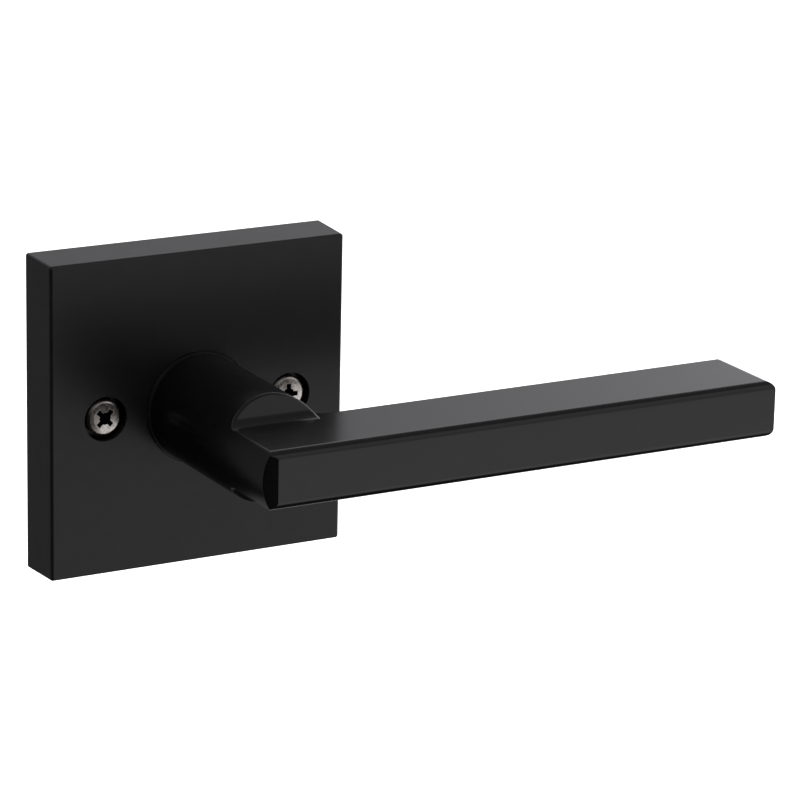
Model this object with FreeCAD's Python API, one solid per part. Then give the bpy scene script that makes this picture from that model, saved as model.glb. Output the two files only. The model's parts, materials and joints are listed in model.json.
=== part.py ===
import FreeCAD, Part
import math
import os

# Inside half of a door lever set: a square sprung rose with two through screws,
# and a flat-bar lever on a round neck. All sizes are in millimetres.
# Origin: where the spindle's axis meets the door's face. +X runs along the lever's
# arm, +Y into the door and +Z up. Depths below are Y values, so in front is negative.

Vector = FreeCAD.Vector
into_door = Vector(0, 1, 0)

# rose: the square cover plate
rose_side = 66.0
rose_draft = 0.33
rose_depth = 11.0
rose_edge_radius = 0.6
rose_wall = 2.0
rose_front_wall = 2.2
rose_hole_radius = 11.75

# through screws, #8-32
screw_spacing = 41.3
screw_boss_radius = 6.0
screw_boss_end = -0.4
counterbore_radius = 4.65
counterbore_depth = 3.0
screw_hole_radius = 2.35
screw_head_radius = 3.7
screw_head_height = 2.7
screw_shank_radius = 1.8
screw_thread_radius = 2.08
screw_thread_start = -0.2
screw_length = 22.0
screw_point_length = 0.8
screw_head_edge_radius = 0.4
screw_recess_width = 4.4
screw_recess_depth = 1.9

# lever: the neck, the bar and the scoops where the neck is cut down to the bar
neck_radius = 11.2
neck_start = -12.05
lever_front = -62.2
bar_depth = 19.0
bar_height = 11.85
bar_end = 105.6
bar_front_radius = 1.6
bar_end_radius = 2.0
facet_start = -8.15
facet_lean = 11.0
facet_rim_radius = 0.3
scoop_corner = -44.4
scoop_lean = 24.0
scoop_radius = 3.0
rim_radius = 0.75
inside_corner_radius = 3.0

# journal: the lever's stepped tail, which turns in the rose
journal_radius = 9.05
clearance = 0.05
waist_radius = 8.8
waist_start = -7.2
tail_radius = 8.0
tail_start = -2.6
tail_end = 5.0
tail_flat = 6.6
groove_start = 1.9
groove_width = 1.2
groove_radius = 7.05

# spindle, 5/16 inch square, and the screw that holds it
spindle_width = 7.9
spindle_start = -34.0
spindle_end = 48.0
spindle_chamfer = 0.7
socket_width = 8.0
set_screw_depth = -24.0
set_screw_radius = 2.4
set_screw_length = 6.4
set_screw_hole_radius = 2.45
set_screw_socket = 2.5

# bearing bush and the washer in front of it
bush_lip_radius = 11.45
bush_lip_length = 1.0
bush_proud = 0.6
bush_seat_radius = 11.7
bush_flange_radius = 13.2
bush_flange_depth = 1.1
neck_washer_radius = 10.9

# spring cage: a pressed cup with a round flange, closed by a cover plate
sheet = 0.8
cage_floor = -7.4
cage_half_width = 14.3
cage_half_height = 17.2
cage_corner_radius = 3.0
cage_back = -0.9
flange_radius = 25.0
cage_hole_radius = 9.6
cover_thickness = 1.0
cover_hole_radius = 8.6

# cage screws, M3
cage_screw_x = 8.0
cage_screw_z = 20.5
cage_boss_radius = 3.0
cage_boss_hole_radius = 1.5
cage_boss_hole_depth = 6.0
cage_screw_hole_radius = 1.7
cage_screw_radius = 1.45
cage_screw_head_radius = 2.75
cage_screw_head_height = 1.8
cage_screw_length = 7.0
cage_screw_recess_width = 2.8
cage_screw_recess_depth = 1.25

# a cross recess's proportions, as parts of its width
recess_wing = 0.22
recess_mouth = 0.42
recess_bottom = 0.12
recess_wing_depth = 0.9

# how far a cutting or joining solid runs past the face that it works on
margin = 1.0
overlap = 0.5

# for picking edges by their place
tolerance = 0.05

# driver plate and what it works against
turn_limit = 50.0
plate_thickness = 1.4
plate_radius = 11.2
ear_half_width = 2.8
ear_reach = 14.0
arm_half_width = 1.6
arm_reach = 13.8
tab_half_width = 0.8
tab_inner = 12.2
tab_front = -6.3
pin_circle = 13.0
stop_pin_radius = 1.0
stop_gap = 0.15
post_circle = 15.2
post_radius = 0.8

# return spring
wire_radius = 0.55
elbow_radius = 0.9
coil_radius = 10.9
coil_front = -5.8
coil_pitch = 1.18
coil_turns = 2
arcs_per_turn = 16
leg_offset = 1.45
leg_reach = 16.0

# washers and retaining ring behind the cover
thrust_washer_start = 0.15
thrust_washer_end = 0.95
thrust_washer_radius = 12.0
washer_hole_radius = 8.4
wave_centre = 1.3
wave_height = 0.2
wave_count = 3
wave_thickness = 0.3
wave_outer_radius = 11.0
ring_outer_radius = 9.8
ring_thickness = 1.1
ring_gap_half_width = 3.0
ring_lug_radius = 1.7
ring_lug_hole_radius = 0.8
ring_lug_proud = 0.4


def box(x0, x1, y0, y1, z0, z1):
    return Part.makeBox(x1 - x0, y1 - y0, z1 - z0, Vector(x0, y0, z0))


def rod(radius, y0, y1, x=0.0, z=0.0):
    return Part.makeCylinder(radius, y1 - y0, Vector(x, y0, z), into_door)


def tube(outer_radius, inner_radius, y0, y1, x=0.0, z=0.0):
    return rod(outer_radius, y0, y1, x, z).cut(rod(inner_radius, y0 - margin, y1 + margin, x, z))


def square_wire(half, y):
    corners = [(-half, -half), (half, -half), (half, half), (-half, half), (-half, -half)]
    return Part.makePolygon([Vector(x, y, z) for x, z in corners])


def rounded_plate(half_width, half_height, radius, y0, y1):
    plate = box(-half_width, half_width, y0, y1, -half_height, half_height)
    along_y = [e for e in plate.Edges if e.BoundBox.YLength > e.BoundBox.XLength + e.BoundBox.ZLength]
    return plate.makeFillet(radius, along_y)


def cross_recess(width, y_open, depth):
    """A cross-head driver's recess, open towards -Y, centred on the Y axis."""
    mouth = width * recess_mouth
    wing = width * recess_wing / 2
    flare = Part.makeCone(mouth, width * recess_bottom, depth, Vector(0, y_open, 0), into_door)
    wings = box(-width / 2, width / 2, y_open, y_open + depth * recess_wing_depth, -wing, wing)
    upright = wings.copy()
    upright.rotate(Vector(0, 0, 0), into_door, 90)
    return flare.fuse([wings, upright]).removeSplitter()


def round_outer_rim(head, radius, y_front):
    edges = [
        e
        for e in head.Edges
        if e.Closed and abs(e.BoundBox.YMax - y_front) < 1e-6 and e.BoundBox.XLength > 2 * radius
    ]
    return head.makeFillet(radius, edges)


def cage_screw_places():
    return [(x, z) for z in (cage_screw_z, -cage_screw_z) for x in (-cage_screw_x, cage_screw_x)]


def rose():
    back = rose_side / 2
    front = back - rose_draft
    shell = Part.makeLoft([square_wire(back, 0), square_wire(front, -rose_depth)], True)
    outer_edges = [e for e in shell.Edges if e.BoundBox.YMin < -rose_depth + tolerance]
    shell = shell.makeFillet(rose_edge_radius, outer_edges)
    inside = back - rose_wall
    inside_front = -rose_depth + rose_front_wall
    shell = shell.cut(box(-inside, inside, inside_front, margin, -inside, inside))
    shell = shell.cut(rod(rose_hole_radius, -rose_depth - margin, 0))
    head_seat = -rose_depth + counterbore_depth
    for x in (-screw_spacing / 2, screw_spacing / 2):
        shell = shell.fuse(rod(screw_boss_radius, inside_front - overlap, screw_boss_end, x))
        shell = shell.cut(rod(counterbore_radius, -rose_depth - margin, head_seat, x))
        shell = shell.cut(rod(screw_hole_radius, head_seat - margin, margin, x))
    boss_end = cage_back - sheet
    for x, z in cage_screw_places():
        shell = shell.fuse(rod(cage_boss_radius, inside_front - overlap, boss_end, x, z))
        shell = shell.cut(rod(cage_boss_hole_radius, boss_end - cage_boss_hole_depth, margin, x, z))
    return shell.removeSplitter()


def mounting_screw(side, recess_turn):
    head_back = -rose_depth + counterbore_depth
    head_front = head_back - screw_head_height
    head = rod(screw_head_radius, head_front, head_back)
    head = round_outer_rim(head, screw_head_edge_radius, head_front)
    recess = cross_recess(screw_recess_width, head_front, screw_recess_depth)
    recess.rotate(Vector(0, 0, 0), into_door, recess_turn)
    shank = rod(screw_shank_radius, head_back, screw_thread_start)
    tip = head_back + screw_length
    thread_end = tip - screw_point_length
    point = Part.makeCone(
        screw_thread_radius,
        screw_thread_radius - screw_point_length,
        screw_point_length,
        Vector(0, thread_end, 0),
        into_door,
    )
    thread = rod(screw_thread_radius, screw_thread_start, thread_end)
    screw = head.cut(recess).fuse([shank, thread, point])
    screw.translate(Vector(side * screw_spacing / 2, 0, 0))
    return screw


def scoop_cutter():
    """What is cut off the neck above the bar: a leaning wall, a round foot and the bar's top plane."""
    top = bar_height / 2
    high = neck_radius + margin
    far = lever_front - margin
    lean = math.radians(scoop_lean)
    up_wall = Vector(0, math.sin(lean), math.cos(lean))
    corner = Vector(0, scoop_corner, top)
    tangent = scoop_radius * math.tan(math.pi / 4 - lean / 2)
    start = corner - Vector(0, tangent, 0)
    end = corner + up_wall * tangent
    centre = start + Vector(0, 0, scoop_radius)
    middle = centre + (corner - centre).normalize() * scoop_radius
    crest = corner + up_wall * ((high - top) / up_wall.z)
    corners = [end, crest, Vector(0, far, high), Vector(0, far, top), start]
    edges = [Part.Arc(start, middle, end).toShape()]
    for a, b in zip(corners, corners[1:]):
        edges.append(Part.LineSegment(a, b).toShape())
    cutter = Part.Face(Part.Wire(edges)).extrude(Vector(2 * high, 0, 0))
    cutter.translate(Vector(-high, 0, 0))
    return cutter


def neck():
    body = rod(neck_radius, lever_front, neck_start)
    above = scoop_cutter()
    below = above.mirror(Vector(0, 0, 0), Vector(0, 0, 1))
    body = body.cut(above).cut(below)
    back = lever_front + bar_depth
    rims = [
        e
        for e in body.Edges
        if scoop_corner - scoop_radius < e.BoundBox.YMin and e.BoundBox.YMax < back + scoop_radius
    ]
    rims = [e for e in rims if overlap < e.BoundBox.ZLength < bar_height]
    return body.makeFillet(rim_radius, rims)


def bar():
    back = lever_front + bar_depth
    half = bar_height / 2
    body = box(0, bar_end, lever_front, back, -half, half)
    end_edges = [e for e in body.Edges if e.BoundBox.XMin > bar_end - margin and e.BoundBox.YLength > margin]
    return body.makeFillet(bar_end_radius, end_edges)


def inside_corner():
    """The rounded fill between the neck's side and the bar's back."""
    body = rod(neck_radius, lever_front, neck_start).fuse(bar())
    back = lever_front + bar_depth
    corner = [
        e
        for e in body.Edges
        if abs(e.BoundBox.YMin - back) < tolerance
        and 0 < e.BoundBox.XMin
        and e.BoundBox.XMax < neck_radius + tolerance
    ]
    return body.makeFillet(inside_corner_radius, corner).cut(body)


def front_envelope():
    """The bar's section drawn out along X, with its front edges rounded."""
    half = bar_height / 2
    back = lever_front + bar_depth
    ends = (-2 * neck_radius, bar_end + margin)
    body = box(*ends, back - bar_depth / 2, 2 * margin, -2 * neck_radius, 2 * neck_radius)
    trim = box(*ends, lever_front, back, -half, half)
    long_front = [
        e for e in trim.Edges if e.BoundBox.XLength > bar_end and e.BoundBox.YMax < lever_front + margin
    ]
    trim = trim.makeFillet(bar_front_radius, long_front)
    return trim.fuse(body)


def side_envelope():
    """The lever's plan drawn out along Z, with its front sloping back beside the neck."""
    high = 2 * neck_radius
    left = -neck_radius - margin
    right = bar_end + margin
    slope = (facet_start - left) * math.tan(math.radians(facet_lean))
    back = 2 * margin
    plan = [
        (facet_start, lever_front),
        (right, lever_front),
        (right, back),
        (left, back),
        (left, lever_front + slope),
        (facet_start, lever_front),
    ]
    outline = Part.makePolygon([Vector(x, y, -high) for x, y in plan])
    return Part.Face(outline).extrude(Vector(0, 0, 2 * high))


def round_facet_rim(body):
    beside = [e for e in body.Edges if e.BoundBox.XMax < facet_start and e.BoundBox.ZLength > margin]
    rim = [e for e in beside if e.BoundBox.YMax < lever_front + margin]
    return body.makeFillet(facet_rim_radius, rim)


def journal():
    running = rod(journal_radius, neck_start - margin, waist_start)
    waist = rod(waist_radius, waist_start, tail_start)
    tail = rod(tail_radius, tail_start, tail_end)
    tail = tail.common(box(-tail_flat, tail_flat, tail_start, tail_end, -tail_radius, tail_radius))
    groove_end = groove_start + groove_width
    tail = tail.cut(tube(tail_radius + 2, groove_radius, groove_start, groove_end))
    return running.fuse([waist, tail])


def lever_handle():
    body = neck().fuse([bar(), inside_corner()])
    body = body.common(front_envelope()).common(side_envelope())
    body = round_facet_rim(body.removeSplitter())
    body = body.fuse(journal()).removeSplitter()
    half = socket_width / 2
    body = body.cut(box(-half, half, spindle_start - margin, tail_end + margin, -half, half))
    screw_hole = Part.makeCylinder(
        set_screw_hole_radius, neck_radius + margin, Vector(0, set_screw_depth, 0), Vector(0, 0, -1)
    )
    return body.cut(screw_hole)


def spindle():
    half = spindle_width / 2
    body = box(-half, half, spindle_start, spindle_end, -half, half)
    ends = [e for e in body.Edges if e.BoundBox.YLength < tolerance]
    return body.makeChamfer(spindle_chamfer, ends)


def set_screw():
    top = -spindle_width / 2
    down = Vector(0, 0, -1)
    body = Part.makeCylinder(set_screw_radius, set_screw_length, Vector(0, 0, top), down)
    reach = set_screw_socket / math.sqrt(3)
    corners = [Vector(reach * math.cos(a), reach * math.sin(a), 0) for a in hexagon_angles()]
    hexagon = Part.Face(Part.makePolygon(corners + corners[:1]))
    hexagon.translate(Vector(0, 0, top - set_screw_length))
    body = body.cut(hexagon.extrude(Vector(0, 0, set_screw_socket)))
    body.translate(Vector(0, set_screw_depth, 0))
    return body


def hexagon_angles():
    return [math.radians(60 * i) for i in range(6)]


def bearing_bush():
    flange_back = -rose_depth + rose_front_wall + bush_flange_depth
    lip_front = -rose_depth - bush_proud
    lip_back = lip_front + bush_lip_length
    body = rod(bush_lip_radius, lip_front, lip_back)
    body = body.fuse(rod(bush_seat_radius, lip_back, flange_back))
    body = body.fuse(rod(bush_flange_radius, -rose_depth + rose_front_wall, flange_back))
    bore = rod(journal_radius + clearance, lip_front - margin, flange_back + margin)
    return body.cut(bore).removeSplitter()


def neck_washer():
    front = neck_start + clearance
    back = -rose_depth - bush_proud - clearance
    return tube(neck_washer_radius, journal_radius + 2 * clearance, front, back)


def flange_blank(y0, y1):
    slab = box(-cage_half_width, cage_half_width, y0, y1, -flange_radius, flange_radius)
    blank = rod(flange_radius, y0, y1).common(slab)
    for x, z in cage_screw_places():
        blank = blank.cut(rod(cage_screw_hole_radius, y0 - margin, y1 + margin, x, z))
    return blank


def spring_cage():
    cup = rounded_plate(cage_half_width, cage_half_height, cage_corner_radius, cage_floor, cage_back)
    cup = cup.fuse(flange_blank(cage_back - sheet, cage_back))
    pocket = rounded_plate(
        cage_half_width - sheet,
        cage_half_height - sheet,
        cage_corner_radius - sheet,
        cage_floor + sheet,
        cage_back + margin,
    )
    return cup.cut(pocket).cut(rod(cage_hole_radius, cage_floor - margin, 0)).removeSplitter()


def cage_cover():
    plate = flange_blank(cage_back, cage_back + cover_thickness)
    return plate.cut(rod(cover_hole_radius, cage_back - margin, cage_back + cover_thickness + margin))


def cage_screw(x, z):
    seat = cage_back + cover_thickness
    top = seat + cage_screw_head_height
    head = rod(cage_screw_head_radius, seat, top)
    recess = cross_recess(cage_screw_recess_width, 0, cage_screw_recess_depth)
    recess.rotate(Vector(0, 0, 0), Vector(0, 0, 1), 180)
    recess.translate(Vector(0, top, 0))
    screw = head.cut(recess).fuse(rod(cage_screw_radius, seat - cage_screw_length, seat))
    screw.translate(Vector(x, 0, z))
    return screw


def driver_plate():
    y0 = tail_start
    y1 = tail_start + plate_thickness
    plate = rod(plate_radius, y0, y1)
    plate = plate.fuse(box(-ear_half_width, ear_half_width, y0, y1, 0, ear_reach))
    plate = plate.fuse(box(-arm_half_width, arm_half_width, y0, y1, -arm_reach, 0))
    hole = rod(tail_radius + clearance, y0 - margin, y1 + margin)
    half = tail_flat + clearance
    hole = hole.common(box(-half, half, y0 - margin, y1 + margin, -plate_radius, plate_radius))
    tab = box(-tab_half_width, tab_half_width, tab_front, y1, -arm_reach, -tab_inner)
    return plate.cut(hole).fuse(tab).removeSplitter()


def stop_pin(side):
    bite = (ear_half_width + stop_pin_radius + stop_gap) / pin_circle
    angle = math.radians(turn_limit) + math.asin(bite)
    x = side * pin_circle * math.sin(angle)
    z = pin_circle * math.cos(angle)
    return rod(stop_pin_radius, cage_floor + sheet, cage_back, x, z)


def spring_post():
    return rod(post_radius, cage_floor + sheet, cage_back, 0, -post_circle)


def coil_point(turn):
    """The point on the spring's centreline that is so many turns past the middle of its coil."""
    angle = 2 * math.pi * turn
    y = coil_front + coil_pitch * (coil_turns / 2 + turn)
    return Vector(-coil_radius * math.sin(angle), y, -coil_radius * math.cos(angle))


def leg_edges(end, heading):
    """The elbow and the straight leg that leave the coil's end, as a list of edges."""
    down = Vector(0, 0, -1)
    heading = Vector(heading).normalize()
    inward = (down - heading * down.dot(heading)).normalize()
    centre = end + inward * elbow_radius
    turn = math.acos(heading.dot(down))
    arc = [
        centre + heading * (elbow_radius * math.sin(a)) - inward * (elbow_radius * math.cos(a))
        for a in (0, turn / 2, turn)
    ]
    tip = Vector(arc[2].x, arc[2].y, -leg_reach)
    return [Part.Arc(*arc).toShape(), Part.LineSegment(arc[2], tip).toShape()]


def return_spring():
    offset = math.asin((leg_offset - elbow_radius) / coil_radius) / (2 * math.pi)
    half_turns = coil_turns / 2 + offset
    arcs = arcs_per_turn * coil_turns
    step = half_turns / arcs
    points = [coil_point(-half_turns + step * i) for i in range(2 * arcs + 1)]
    coil = [Part.Arc(*points[i : i + 3]).toShape() for i in range(0, 2 * arcs, 2)]
    small = step / 100
    first_leg = leg_edges(points[0], coil_point(-half_turns - small) - points[0])
    last_leg = leg_edges(points[-1], coil_point(half_turns + small) - points[-1])
    path = Part.Wire(Part.__sortEdges__(first_leg + coil + last_leg))
    start = path.OrderedVertexes[0].Point
    section = Part.Wire(Part.makeCircle(wire_radius, start, Vector(0, 0, 1)))
    return path.makePipeShell([section], True, True, 1)


def thrust_washer():
    return tube(thrust_washer_radius, washer_hole_radius, thrust_washer_start, thrust_washer_end)


def wave_circle(radius, points=48):
    places = []
    for i in range(points):
        a = 2 * math.pi * i / points
        y = wave_centre + wave_height * math.cos(wave_count * a)
        places.append(Vector(radius * math.cos(a), y, radius * math.sin(a)))
    curve = Part.BSplineCurve()
    curve.interpolate(Points=places, PeriodicFlag=True)
    return curve.toShape()


def wave_washer():
    face = Part.makeRuledSurface(wave_circle(washer_hole_radius), wave_circle(wave_outer_radius))
    return face.extrude(Vector(0, wave_thickness, 0))


def retaining_ring():
    y0 = groove_start + clearance
    y1 = y0 + ring_thickness
    body = tube(ring_outer_radius, groove_radius + clearance, y0, y1)
    gap = box(-ring_gap_half_width, ring_gap_half_width, y0 - margin, y1 + margin, -2 * ring_outer_radius, 0)
    body = body.cut(gap)
    lug_circle = ring_outer_radius - ring_lug_radius + ring_lug_proud
    x = ring_gap_half_width + ring_lug_radius
    z = -math.sqrt(lug_circle**2 - x**2)
    for side in (-1, 1):
        body = body.fuse(rod(ring_lug_radius, y0, y1, side * x, z))
        body = body.cut(rod(ring_lug_hole_radius, y0 - margin, y1 + margin, side * x, z))
    return body.cut(rod(groove_radius + clearance, y0 - margin, y1 + margin)).removeSplitter()


def parts():
    made = {
        "rose": rose(),
        "bearing_bush": bearing_bush(),
        "neck_washer": neck_washer(),
        "spring_cage": spring_cage(),
        "cage_cover": cage_cover(),
        "stop_pin_left": stop_pin(-1),
        "stop_pin_right": stop_pin(1),
        "spring_post": spring_post(),
        "return_spring": return_spring(),
        "thrust_washer": thrust_washer(),
        "mounting_screw_left": mounting_screw(-1, 45),
        "mounting_screw_right": mounting_screw(1, 0),
        "lever_handle": lever_handle(),
        "spindle": spindle(),
        "set_screw": set_screw(),
        "driver_plate": driver_plate(),
        "wave_washer": wave_washer(),
        "retaining_ring": retaining_ring(),
    }
    for number, (x, z) in enumerate(cage_screw_places(), start=1):
        made[f"cage_screw_{number}"] = cage_screw(x, z)
    return made


os.makedirs("parts", exist_ok=True)
for name, shape in parts().items():
    shape.exportStep(f"parts/{name}.step")
    print(name, round(shape.Volume, 1), len(shape.Solids), shape.isValid())
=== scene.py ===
import bmesh
import bpy
import json
import math
from mathutils import Matrix, Vector


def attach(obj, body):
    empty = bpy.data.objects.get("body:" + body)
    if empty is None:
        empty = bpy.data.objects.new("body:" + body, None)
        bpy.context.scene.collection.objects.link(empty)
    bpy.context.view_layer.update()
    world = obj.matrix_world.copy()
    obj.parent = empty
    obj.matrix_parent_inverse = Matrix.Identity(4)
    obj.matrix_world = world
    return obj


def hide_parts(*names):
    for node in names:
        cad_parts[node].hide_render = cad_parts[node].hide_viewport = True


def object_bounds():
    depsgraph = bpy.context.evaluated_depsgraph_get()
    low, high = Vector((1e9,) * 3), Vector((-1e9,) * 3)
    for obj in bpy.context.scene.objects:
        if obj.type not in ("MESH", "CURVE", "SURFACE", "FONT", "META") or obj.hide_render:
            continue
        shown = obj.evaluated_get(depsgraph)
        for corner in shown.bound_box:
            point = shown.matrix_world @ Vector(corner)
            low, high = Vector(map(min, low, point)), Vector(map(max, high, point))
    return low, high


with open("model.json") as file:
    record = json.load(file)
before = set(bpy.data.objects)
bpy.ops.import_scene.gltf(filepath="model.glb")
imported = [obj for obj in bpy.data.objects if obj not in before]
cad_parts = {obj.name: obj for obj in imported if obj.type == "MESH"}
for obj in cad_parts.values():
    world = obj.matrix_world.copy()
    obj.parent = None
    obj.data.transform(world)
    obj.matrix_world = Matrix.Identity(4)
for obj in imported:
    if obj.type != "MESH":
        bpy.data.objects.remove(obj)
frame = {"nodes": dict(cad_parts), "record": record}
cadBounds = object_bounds()
nodes = frame["nodes"]
mm = 0.001
bpy.ops.object.select_all(action="DESELECT")
print("frame loaded:", len(nodes), "nodes")


# camera, floor and light

cameraSettings = {
    "place": (-0.34179, -0.70515, 0.23295),
    "azimuth": -29.23,
    "elevation": 16.62,
    "roll": 1.245,
    "lens": 179.5,
    "sensor": 36,
}


def makeCamera(c):
    a, e, r = (math.radians(c[k]) for k in ("azimuth", "elevation", "roll"))
    back = Vector((math.sin(a) * math.cos(e), -math.cos(a) * math.cos(e), math.sin(e)))
    right = Vector((0, 0, 1)).cross(back).normalized()
    up = back.cross(right)
    tiltedRight = right * math.cos(r) + up * math.sin(r)
    tiltedUp = up * math.cos(r) - right * math.sin(r)
    data = bpy.data.cameras.new("camera")
    data.lens = c["lens"]
    data.sensor_width = c["sensor"]
    camera = bpy.data.objects.new("camera", data)
    turn = Matrix((tiltedRight, tiltedUp, back)).transposed()
    camera.matrix_world = Matrix.Translation(c["place"]) @ turn.to_4x4()
    bpy.context.scene.collection.objects.link(camera)
    bpy.context.scene.camera = camera


floorSettings = {
    "drop": 0.26,  # below the rose, as the handle is held by its door
    "size": 12.0,
    "colour": (0.86, 0.86, 0.855, 1),
    "roughness": 0.9,
}


def makeFloor(f):
    low = cadBounds[0].z - f["drop"]
    bpy.ops.mesh.primitive_plane_add(size=f["size"], location=(0, 0, low))
    floor = bpy.context.object
    floor.name = "floor"
    material = bpy.data.materials.new("palePaper")
    material.use_nodes = True
    shader = material.node_tree.nodes["Principled BSDF"]
    shader.inputs["Base Color"].default_value = f["colour"]
    shader.inputs["Roughness"].default_value = f["roughness"]
    floor.data.materials.append(material)
    floor.visible_glossy = False  # the coat reflects the room instead


lightSettings = {
    "overheadPower": 190,
    "overheadSize": 3.0,
    "overheadHeight": 2.2,
    # brightness of the room below eye level, by the angle from the front towards the right
    "lowWalls": [
        (-180, 0.2), (-151, 0.13), (-92, 0.12), (-78, 0.003), (13, 0.003),
        (23, 1.0), (36, 1.12), (60, 1.12), (143, 0.95), (148, 0.5), (153, 0.27), (165, 0.2), (180, 0.15),
    ],
    "walls": [
        (-180, 0.2), (-151, 0.13), (-92, 0.12), (-78, 0.003), (13, 0.003),
        (22, 0.55), (60, 0.65), (143, 0.98), (148, 0.52), (153, 0.3), (165, 0.22), (180, 0.15),
    ],
    "wallHeight": (-0.33, -0.2),
    # and of the band between the walls and the ceiling
    "cornice": [
        (-180, 0.4), (-120, 0.55), (-60, 0.5), (-20, 0.1),
        (18, 0.6), (60, 0.75), (150, 1.05), (180, 0.6),
    ],
    "corniceHeight": (0.3, 0.42),
    "ceilingHeight": (0.6, 0.74),
    "ceiling": 0.2,
    "tableHeight": (-0.6, -0.8),
    "table": 0.03,
    "tint": (1.0, 0.985, 1.02),
    "backdrop": 1.0,  # what the camera sees behind everything, in place of the room
}


def makeOverheadLight(s):
    data = bpy.data.lights.new("overhead", "AREA")
    data.energy = s["overheadPower"]
    data.size = s["overheadSize"]
    light = bpy.data.objects.new("overhead", data)
    light.location = (0, 0, s["overheadHeight"])
    light.visible_glossy = False
    bpy.context.scene.collection.objects.link(light)


def addRoundRamp(tree, angle, stops, tint):
    ramp = tree.nodes.new("ShaderNodeValToRGB")
    points = ramp.color_ramp.elements
    while len(points) < len(stops):
        points.new(0.5)
    for point, (degrees, value) in zip(points, stops):
        point.position = (degrees + 180) / 360
        point.color = tuple(value * t for t in tint) + (1,)
    tree.links.new(angle, ramp.inputs[0])
    return ramp.outputs[0]


def addBlend(tree, height, limits, under, over):
    step = tree.nodes.new("ShaderNodeMapRange")
    step.interpolation_type = "SMOOTHSTEP"
    step.inputs["From Min"].default_value, step.inputs["From Max"].default_value = limits
    tree.links.new(height, step.inputs["Value"])
    blend = tree.nodes.new("ShaderNodeMix")
    blend.data_type = "RGBA"  # its two colours are inputs 6 and 7
    tree.links.new(step.outputs[0], blend.inputs[0])
    tree.links.new(under, blend.inputs[6])
    if isinstance(over, float):
        blend.inputs[7].default_value = (over, over, over, 1)
    else:
        tree.links.new(over, blend.inputs[7])
    return blend.outputs[2]


def makeRoom(s):
    world = bpy.data.worlds.new("studio")
    world.use_nodes = True
    bpy.context.scene.world = world
    tree = world.node_tree
    link = tree.links.new
    tree.nodes.clear()
    place = tree.nodes.new("ShaderNodeTexCoord")
    split = tree.nodes.new("ShaderNodeSeparateXYZ")
    link(place.outputs["Generated"], split.inputs[0])
    ahead = tree.nodes.new("ShaderNodeMath")
    ahead.operation = "MULTIPLY"
    ahead.inputs[1].default_value = -1
    link(split.outputs["Y"], ahead.inputs[0])
    around = tree.nodes.new("ShaderNodeMath")
    around.operation = "ARCTAN2"
    link(split.outputs["X"], around.inputs[0])
    link(ahead.outputs[0], around.inputs[1])
    angle = tree.nodes.new("ShaderNodeMapRange")
    angle.inputs["From Min"].default_value = -math.pi
    angle.inputs["From Max"].default_value = math.pi
    link(around.outputs[0], angle.inputs["Value"])

    lowWalls = addRoundRamp(tree, angle.outputs[0], s["lowWalls"], s["tint"])
    walls = addRoundRamp(tree, angle.outputs[0], s["walls"], s["tint"])
    cornice = addRoundRamp(tree, angle.outputs[0], s["cornice"], s["tint"])
    height = split.outputs["Z"]
    room = addBlend(tree, height, s["wallHeight"], lowWalls, walls)
    room = addBlend(tree, height, s["corniceHeight"], room, cornice)
    room = addBlend(tree, height, s["ceilingHeight"], room, s["ceiling"])
    room = addBlend(tree, height, s["tableHeight"], room, s["table"])

    rays = tree.nodes.new("ShaderNodeLightPath")
    seen = tree.nodes.new("ShaderNodeMix")
    seen.data_type = "RGBA"
    seen.inputs[7].default_value = (s["backdrop"],) * 3 + (1,)
    link(rays.outputs["Is Camera Ray"], seen.inputs[0])
    link(room, seen.inputs[6])
    background = tree.nodes.new("ShaderNodeBackground")
    out = tree.nodes.new("ShaderNodeOutputWorld")
    link(seen.outputs[2], background.inputs["Color"])
    link(background.outputs[0], out.inputs["Surface"])


makeCamera(cameraSettings)
makeFloor(floorSettings)
makeOverheadLight(lightSettings)
makeRoom(lightSettings)
bpy.context.scene.view_settings.view_transform = "Standard"
print("camera, floor and light made")


# materials

noiseSpan = (0.3, 0.7)  # most of a noise texture's values lie between these


def startMaterial(name, metal=0.0):
    material = bpy.data.materials.new(name)
    material.use_nodes = True
    shader = material.node_tree.nodes["Principled BSDF"]
    shader.inputs["Metallic"].default_value = metal
    return material, material.node_tree, shader


def addNoise(tree, scale, detail=3.0, stretch=(1, 1, 1)):
    place = tree.nodes.new("ShaderNodeTexCoord")
    mapping = tree.nodes.new("ShaderNodeMapping")
    mapping.inputs["Scale"].default_value = stretch
    noise = tree.nodes.new("ShaderNodeTexNoise")
    noise.inputs["Scale"].default_value = scale
    noise.inputs["Detail"].default_value = detail
    tree.links.new(place.outputs["Object"], mapping.inputs[0])
    tree.links.new(mapping.outputs[0], noise.inputs["Vector"])
    return noise.outputs["Fac"]


def addRamp(tree, value, low, high):
    ramp = tree.nodes.new("ShaderNodeValToRGB")
    for point, place, colour in zip(ramp.color_ramp.elements, noiseSpan, (low, high)):
        point.position = place
        point.color = colour
    tree.links.new(value, ramp.inputs[0])
    return ramp.outputs[0]


def addRange(tree, value, low, high):
    spread = tree.nodes.new("ShaderNodeMapRange")
    spread.inputs["From Min"].default_value, spread.inputs["From Max"].default_value = noiseSpan
    spread.inputs["To Min"].default_value = low
    spread.inputs["To Max"].default_value = high
    tree.links.new(value, spread.inputs["Value"])
    return spread.outputs[0]


def addBump(tree, shader, value, depth, under=None):
    bump = tree.nodes.new("ShaderNodeBump")
    bump.inputs["Distance"].default_value = depth
    bump.inputs["Strength"].default_value = 1.0
    tree.links.new(value, bump.inputs["Height"])
    if under:
        tree.links.new(under, bump.inputs["Normal"])
    tree.links.new(bump.outputs[0], shader.inputs["Normal"])
    return bump.outputs[0]


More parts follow.
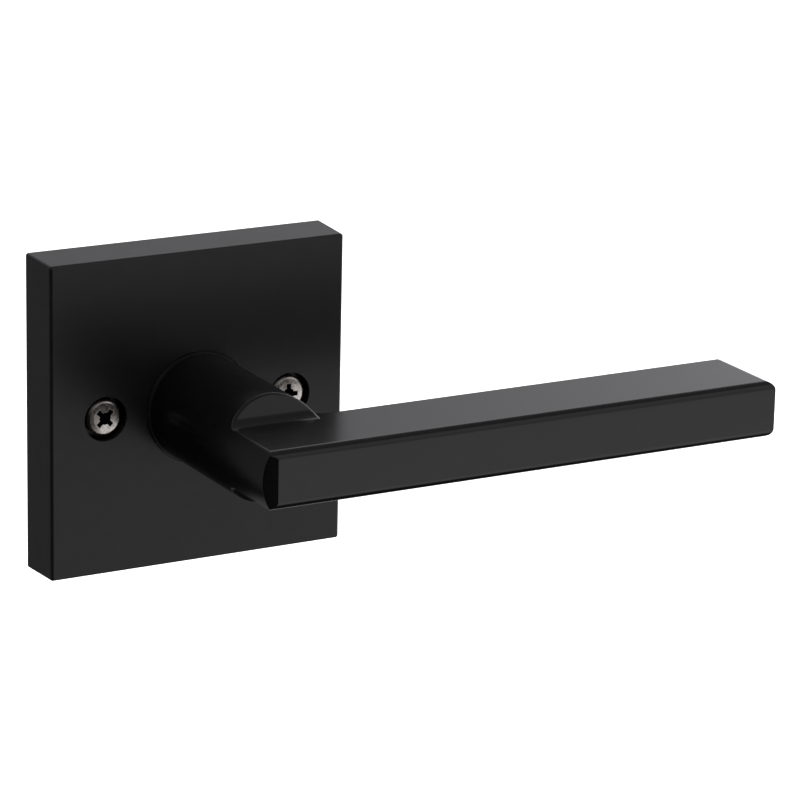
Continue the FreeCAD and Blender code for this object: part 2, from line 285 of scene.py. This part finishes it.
# noise scales are per metre and depths in metres
coatSettings = {
    "name": "blackCoat",
    "gloss": 0.5,
    "dark": (0.0008, 0.0008, 0.0009, 1),
    "light": (0.0012, 0.0012, 0.0013, 1),
    "patches": 600,
    "patchDetail": 5,
    "smoothest": 0.22,
    "roughest": 0.24,
    "sheen": 260,
    "sheenDetail": 4,
    "grain": 2600,
    "grainDetail": 4,
    "grainDepth": 0.000002,
    "orangePeel": 320,
    "orangePeelDetail": 2,
    "orangePeelDepth": 0.000006,
}
# the rose comes out of the same paint a little duller, with its base colour made lighter as painted
# light that lifts the shade on its front
paintedLightRoseSettings = dict(
    coatSettings, name="paintedLightRoseCoat", dark=(0.0026, 0.0026, 0.0027, 1), light=(0.0034, 0.0034, 0.0036, 1),
    smoothest=0.33, roughest=0.36, gloss=0.47,
)


def blackCoat(c):
    material, tree, shader = startMaterial(c["name"])
    shader.inputs["Specular IOR Level"].default_value = c["gloss"]
    grain = addNoise(tree, c["grain"], c["grainDetail"])
    patches = addNoise(tree, c["patches"], c["patchDetail"])
    tree.links.new(addRamp(tree, patches, c["dark"], c["light"]), shader.inputs["Base Color"])
    rough = addRange(tree, addNoise(tree, c["sheen"], c["sheenDetail"]), c["smoothest"], c["roughest"])
    tree.links.new(rough, shader.inputs["Roughness"])
    orangePeel = addNoise(tree, c["orangePeel"], c["orangePeelDetail"])
    peel = addBump(tree, shader, orangePeel, c["orangePeelDepth"])
    addBump(tree, shader, grain, c["grainDepth"], under=peel)
    return material


# what every metal shares, unless its own entry below says otherwise
metalSettings = {
    "stretch": (1, 1, 1),
    "grain": 1400,
    "grainDetail": 5,
    "grainDepth": 0.000006,
    "clouds": 130,
    "cloudDetail": 4,
    "smoother": 0.07,
    "rougher": 0.1,
}
metals = {
    "zincScrew": {
        "light": (0.78, 0.74, 0.68, 1), "dark": (0.36, 0.33, 0.30, 1), "roughness": 0.3, "clouds": 520,
    },
    "platedSheet": {"light": (0.66, 0.66, 0.64, 1), "dark": (0.5, 0.5, 0.49, 1), "roughness": 0.34},
    "springSteel": {"light": (0.22, 0.22, 0.23, 1), "dark": (0.14, 0.14, 0.15, 1), "roughness": 0.3},
    "drawnSteel": {
        "light": (0.6, 0.6, 0.6, 1), "dark": (0.48, 0.48, 0.48, 1), "roughness": 0.3,
        "stretch": (1, 0.03, 1),  # drawn along the spindle
    },
    # painted shade: near-black steel that stands for the shade inside the screws' recesses
    "paintedShadeSteel": {"light": (0.03, 0.027, 0.024, 1), "dark": (0.01, 0.009, 0.008, 1), "roughness": 0.6},
}


def steel(name):
    c = dict(metalSettings, **metals[name])
    material, tree, shader = startMaterial(name, metal=1.0)
    streaks = addNoise(tree, c["grain"], c["grainDetail"], c["stretch"])
    tone = addNoise(tree, c["clouds"], c["cloudDetail"])
    tree.links.new(addRamp(tree, tone, c["dark"], c["light"]), shader.inputs["Base Color"])
    rough = addRange(tree, streaks, c["roughness"] - c["smoother"], c["roughness"] + c["rougher"])
    tree.links.new(rough, shader.inputs["Roughness"])
    addBump(tree, shader, streaks, c["grainDepth"])
    return material


nylonSettings = {
    "sheen": 700,
    "smoothest": 0.35,
    "roughest": 0.5,
    "clouds": 90,
    "dark": (0.003, 0.003, 0.003, 1),
    "light": (0.006, 0.006, 0.006, 1),
}


def nylon(c):
    material, tree, shader = startMaterial("blackNylon")
    rough = addRange(tree, addNoise(tree, c["sheen"]), c["smoothest"], c["roughest"])
    tree.links.new(rough, shader.inputs["Roughness"])
    colour = addRamp(tree, addNoise(tree, c["clouds"]), c["dark"], c["light"])
    tree.links.new(colour, shader.inputs["Base Color"])
    return material


slotMaterials = {
    "black_coat": blackCoat(coatSettings),
    "zinc_screw": steel("zincScrew"),
    "nylon": nylon(nylonSettings),
    "plated_steel": steel("platedSheet"),
    "spring_steel": steel("springSteel"),
    "spindle_steel": steel("drawnSteel"),
}
paintedLightRoseCoat = blackCoat(paintedLightRoseSettings)
paintedShadeSteel = steel("paintedShadeSteel")  # painted shade: a near-black steel for the inside of the screws' recesses, standing for the shade there


def coatNodes():
    for part in frame["record"]["subparts"]:
        node = nodes[part["node"]]
        node.data.materials.clear()
        node.data.materials.append(slotMaterials[part["material_slot"]])
    # the rose takes the lighter coat, whose base colour is painted light lifting its shaded front
    nodes["rose"].data.materials[0] = paintedLightRoseCoat


coatNodes()
print("materials made")


# mounting screws: a domed head with a deep cross recess, a plain shank and a ridged thread.
# lengths are in millimetres, and turns are the recesses' angles in degrees

screwSettings = {
    "headRadius": 3.7,
    "rimRadius": 0.25,
    "headHeight": 2.7,
    "rimHeight": 2.3,
    "domeSteps": 4,
    "shankRadius": 1.8,
    "coreRadius": 1.68,
    "threadRadius": 2.08,
    "pitch": 0.794,
    "ridge": (0.1, 0.45, 0.6, 0.95),  # foot, crest, crest and foot, along one pitch
    "threadStart": -0.2,
    "pointLength": 1.2,
    "tipRadius": 1.08,
    "steps": 64,
    "recessWidth": 4.4,
    "wingWidth": 1.0,
    "wingBottom": 0.75,
    "recessDepth": 2.0,
    "recessProud": 0.2,  # how far the cutters stand out of the head
    "hubRadius": 1.35,
    "hubBottom": 0.5,
    "hubDepth": 2.8,
    "hubProud": 0.3,
    "hubSides": 24,
    "bevel": 0.05,
    "bevelSegments": 2,
    "bevelAngle": 50,
    "smoothAngle": 35,
    "turns": {"mounting_screw_left": 45, "mounting_screw_right": 2},
}


def nodeBounds(name):
    corners = [nodes[name].matrix_world @ Vector(v) for v in nodes[name].bound_box]
    low = Vector(min(v[i] for v in corners) for i in range(3))
    high = Vector(max(v[i] for v in corners) for i in range(3))
    return low, high


def screwProfile(c, headBack, tip):
    top = headBack - c["headHeight"]
    rimTop = headBack - c["rimHeight"]
    domeRadius = c["headRadius"] - c["rimRadius"]
    points = []
    for step in range(1, c["domeSteps"] + 1):
        angle = step / c["domeSteps"] * math.pi / 2
        points.append((domeRadius * math.sin(angle), rimTop + (top - rimTop) * math.cos(angle)))
    points += [(c["headRadius"], rimTop + c["rimRadius"]), (c["headRadius"], headBack)]
    points += [(c["shankRadius"], headBack), (c["shankRadius"], c["threadStart"])]
    y = c["threadStart"]
    while y + c["pitch"] < tip - c["pointLength"]:
        radii = (c["coreRadius"], c["threadRadius"], c["threadRadius"], c["coreRadius"])
        points += [(radius, y + share * c["pitch"]) for radius, share in zip(radii, c["ridge"])]
        y += c["pitch"]
    points += [(c["coreRadius"], tip - c["pointLength"]), (c["tipRadius"], tip)]
    return points


def turnOnLathe(name, profile, steps):
    radius, y = profile[0]
    bpy.ops.object.select_all(action="DESELECT")
    bpy.ops.mesh.primitive_circle_add(
        vertices=steps, radius=radius * mm, fill_type="NGON",
        location=(0, y * mm, 0), rotation=(math.pi / 2, 0, 0),
    )
    piece = bpy.context.object
    piece.name = name
    bpy.ops.object.transform_apply(location=True, rotation=True, scale=True)
    bpy.ops.object.mode_set(mode="EDIT")
    bpy.ops.mesh.select_all(action="SELECT")
    for nextRadius, nextY in profile[1:]:
        bpy.ops.mesh.extrude_region_move(TRANSFORM_OT_translate={"value": (0, (nextY - y) * mm, 0)})
        ratio = nextRadius / radius
        bpy.ops.transform.resize(value=(ratio, 1, ratio))
        radius, y = nextRadius, nextY
    bpy.ops.mesh.select_all(action="SELECT")
    bpy.ops.mesh.normals_make_consistent(inside=False)
    bpy.ops.object.mode_set(mode="OBJECT")
    return piece


def selectFaces(piece, wanted):
    bpy.ops.mesh.select_mode(type="FACE")
    bpy.ops.mesh.select_all(action="DESELECT")
    shape = bmesh.from_edit_mesh(piece.data)
    for face in shape.faces:
        face.select_set(wanted(face))
    bmesh.update_edit_mesh(piece.data)


def makeCross(c, top, turn):
    wings = []
    for side in (0, 90):
        bpy.ops.mesh.primitive_cube_add(size=1, location=(0, 0, 0))
        wing = bpy.context.object
        wing.scale = (c["recessWidth"] * mm, c["recessDepth"] * mm, c["wingWidth"] * mm)
        wing.location = (0, (top + c["recessDepth"] / 2 - c["recessProud"]) * mm, 0)
        bpy.ops.object.transform_apply(location=True, rotation=False, scale=True)
        bpy.ops.object.mode_set(mode="EDIT")
        selectFaces(wing, lambda f: f.normal.y > 0.9)
        bpy.ops.transform.resize(value=(c["wingBottom"], 1, c["wingBottom"]))
        bpy.ops.object.mode_set(mode="OBJECT")
        wing.rotation_euler = (0, math.radians(turn + side), 0)
        bpy.ops.object.transform_apply(location=False, rotation=True, scale=False)
        wings.append(wing)
    bpy.ops.mesh.primitive_cone_add(
        vertices=c["hubSides"], depth=c["hubDepth"] * mm,
        radius1=c["hubRadius"] * mm, radius2=c["hubBottom"] * mm,
        location=(0, (top + c["hubDepth"] / 2 - c["hubProud"]) * mm, 0), rotation=(-math.pi / 2, 0, 0),
    )
    middle = bpy.context.object
    bpy.ops.object.transform_apply(location=True, rotation=True, scale=True)
    cutters = wings + [middle]
    for cutter in cutters:  # a cut face keeps its cutter's material
        cutter.data.materials.append(slotMaterials["zinc_screw"])
        cutter.data.materials.append(paintedShadeSteel)
        # every cutter face takes the painted shade steel, so the recess walls come out dark as painted
        # shade
        for face in cutter.data.polygons:
            face.material_index = 1
    return cutters


def cutWith(piece, cutters):
    bpy.context.view_layer.objects.active = piece
    for cutter in cutters:
        cut = piece.modifiers.new("cut", "BOOLEAN")
        cut.operation = "DIFFERENCE"
        cut.solver = "EXACT"
        cut.object = cutter
        bpy.ops.object.modifier_apply(modifier=cut.name)
        bpy.data.objects.remove(cutter)


def mountingScrew(name, c):
    low, high = nodeBounds(name)
    headBack = low.y / mm + c["headHeight"]
    tip = high.y / mm
    middle = (low + high) / 2
    points = screwProfile(c, headBack, tip)
    screw = turnOnLathe(name + "_turned", points, c["steps"])
    screw.data.materials.append(slotMaterials["zinc_screw"])
    # second slot: the painted shade steel for the recess walls
    screw.data.materials.append(paintedShadeSteel)
    cutWith(screw, makeCross(c, headBack - c["headHeight"], c["turns"][name]))
    bevel = screw.modifiers.new("edges", "BEVEL")
    bevel.width = c["bevel"] * mm
    bevel.segments = c["bevelSegments"]
    bevel.limit_method = "ANGLE"
    bevel.angle_limit = math.radians(c["bevelAngle"])
    bpy.ops.object.modifier_apply(modifier=bevel.name)
    screw.location = (middle.x, 0, middle.z)
    bpy.ops.object.transform_apply(location=True, rotation=False, scale=False)
    bpy.ops.object.shade_smooth_by_angle(angle=math.radians(c["smoothAngle"]))
    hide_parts(name)
    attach(screw, "rose_assembly")
    return screw


for screwName in screwSettings["turns"]:
    mountingScrew(screwName, screwSettings)
print("mounting screws made")
